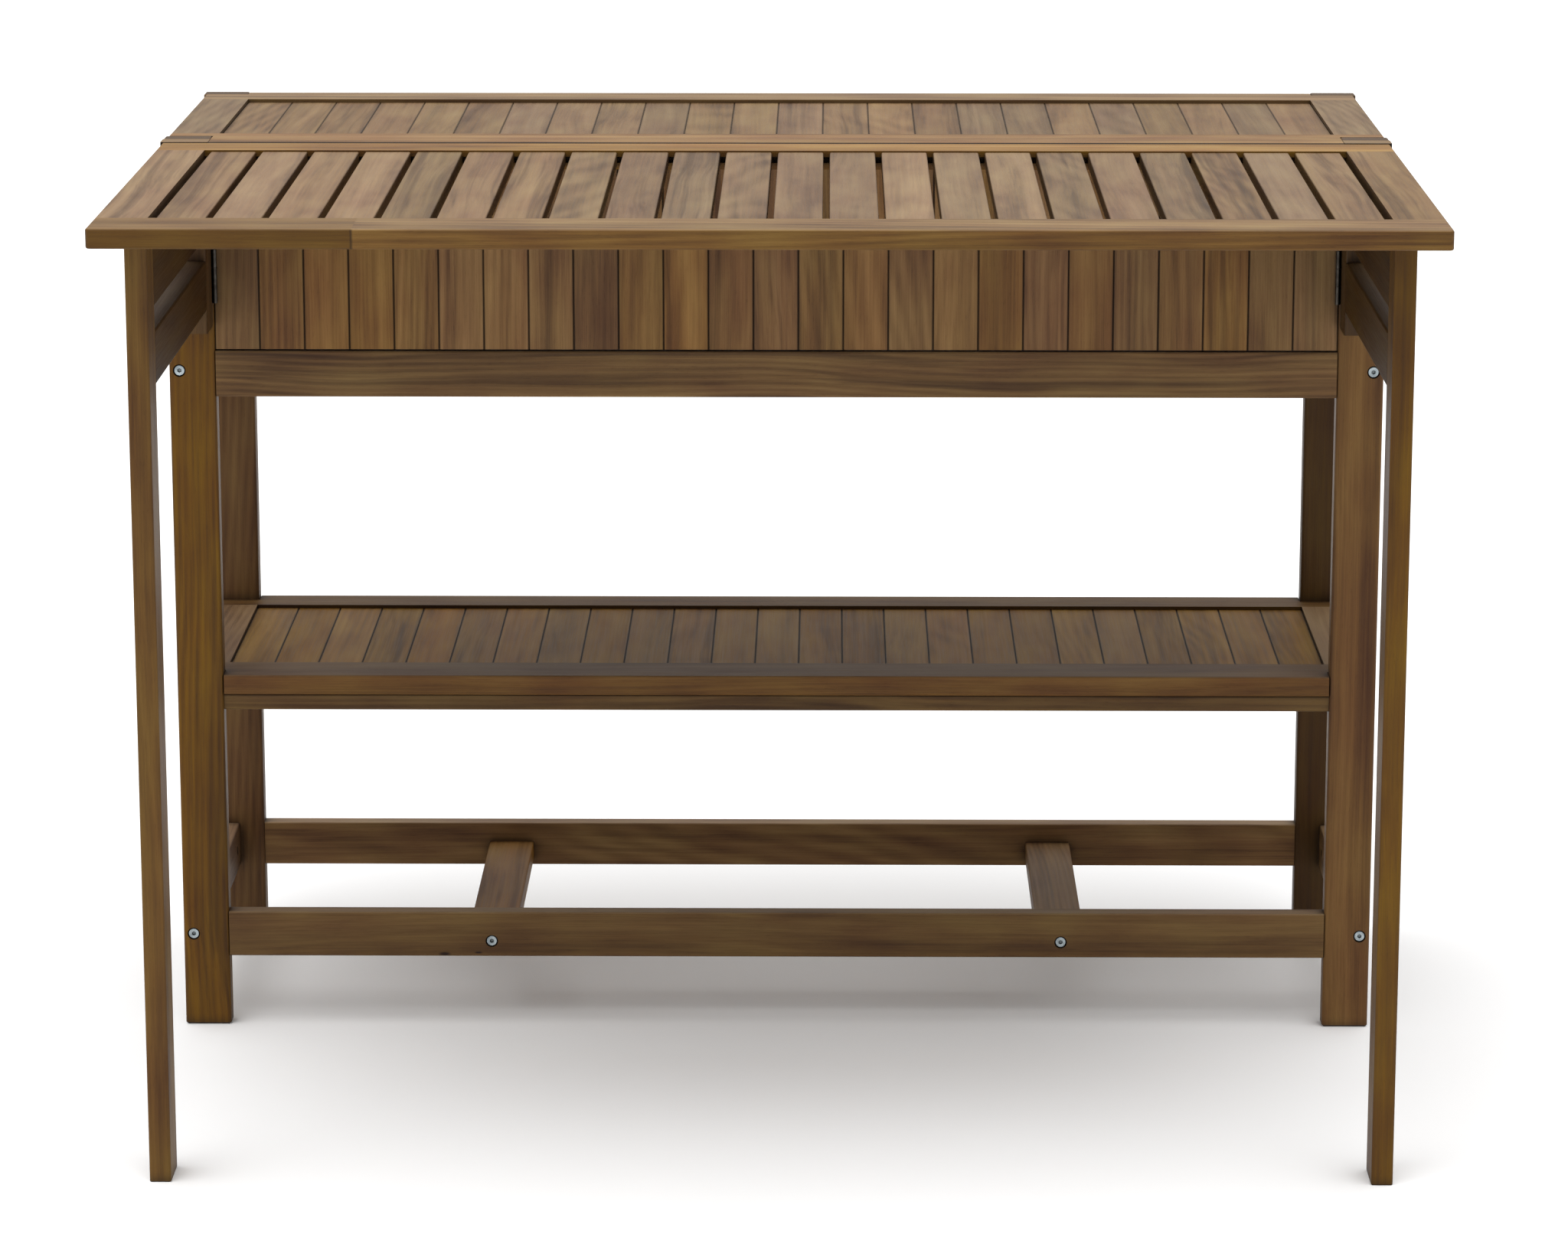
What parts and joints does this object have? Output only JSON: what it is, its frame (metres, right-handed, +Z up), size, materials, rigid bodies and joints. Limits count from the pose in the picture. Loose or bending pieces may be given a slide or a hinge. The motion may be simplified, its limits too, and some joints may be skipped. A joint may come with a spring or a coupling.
{
  "type": "potting bench",
  "caption": "Folding timber potting bench with a fixed boarded top, a hinged slatted leaf on swing-out gate legs, a boarded apron and a lower shelf.",
  "frame": {"origin": "on the floor under the middle of the footprint, with the leaf open", "axes": "+X along the bench to the right seen from the front, +Y from the leaf towards the rear posts, +Z up"},
  "size_m": [1.194, 0.946, 0.9],
  "materials": {
    "frame_timber": "oiled",
    "gate_timber": "oiled",
    "panel_timber": "oiled",
    "board_timber": "oiled",
    "zinc_hardware": "zinc plated"
  },
  "bodies": {
    "frame": {"apron_boards": "board_timber", "apron_lower_batten": "frame_timber", "apron_upper_batten": "frame_timber", "barrel_nuts": "zinc_hardware", "cross_bar_left": "frame_timber", "cross_bar_right": "frame_timber", "frame_bolts": "zinc_hardware", "frame_dowels": "frame_timber", "frame_hinge_screws": "zinc_hardware", "front_stretcher": "frame_timber", "gate_hinge_fixed_plates": "zinc_hardware", "gate_hinge_pins": "zinc_hardware", "head_block_left": "panel_timber", "head_block_right": "panel_timber", "leaf_hinge_fixed_plates": "zinc_hardware", "leaf_hinge_pins": "zinc_hardware", "lower_side_rail_left": "frame_timber", "lower_side_rail_right": "frame_timber", "panel_screws": "zinc_hardware", "post_front_left": "frame_timber", "post_front_right": "frame_timber", "post_rear_left": "frame_timber", "post_rear_right": "frame_timber", "rear_stretcher": "frame_timber", "shelf_boards": "board_timber", "shelf_front_bearer": "frame_timber", "shelf_front_rail": "panel_timber", "shelf_rear_bearer": "frame_timber", "shelf_rear_rail": "panel_timber", "shelf_stile_left": "panel_timber", "shelf_stile_right": "panel_timber", "top_boards": "board_timber", "top_front_rail": "panel_timber", "top_rear_bearer": "frame_timber", "top_rear_rail": "panel_timber", "top_stile_left": "panel_timber", "top_stile_right": "panel_timber", "upper_front_rail": "frame_timber", "upper_rear_rail": "frame_timber", "upper_side_rail_left": "frame_timber", "upper_side_rail_right": "frame_timber"},
    "leaf": {"leaf_front_rail": "panel_timber", "leaf_hinge_moving_plates": "zinc_hardware", "leaf_hinge_screws": "zinc_hardware", "leaf_rear_rail": "panel_timber", "leaf_slats": "board_timber", "leaf_stile_left": "panel_timber", "leaf_stile_right": "panel_timber"},
    "gate_left": {"gate_left_hinge_plates": "zinc_hardware", "gate_left_hinge_screws": "zinc_hardware", "gate_left_leg": "gate_timber", "gate_left_lower_rail": "gate_timber", "gate_left_stile": "gate_timber", "gate_left_upper_rail": "gate_timber"},
    "gate_right": {"gate_right_hinge_plates": "zinc_hardware", "gate_right_hinge_screws": "zinc_hardware", "gate_right_leg": "gate_timber", "gate_right_lower_rail": "gate_timber", "gate_right_stile": "gate_timber", "gate_right_upper_rail": "gate_timber"}
  },
  "joints": [
    {"name": "leaf_hinge", "type": "hinge", "parent": "frame", "child": "leaf", "pos_m": [0, 0.0815, 0.8795], "axis": [-1, 0, 0], "range_deg": [0, 12]},
    {"name": "gate_left_hinge", "type": "hinge", "parent": "frame", "child": "gate_left", "pos_m": [-0.5497, 0.103, 0.8], "axis": [0, 0, 1], "range_deg": [0, 90]},
    {"name": "gate_right_hinge", "type": "hinge", "parent": "frame", "child": "gate_right", "pos_m": [0.5497, 0.103, 0.8], "axis": [0, 0, -1], "range_deg": [0, 90]}
  ]
}
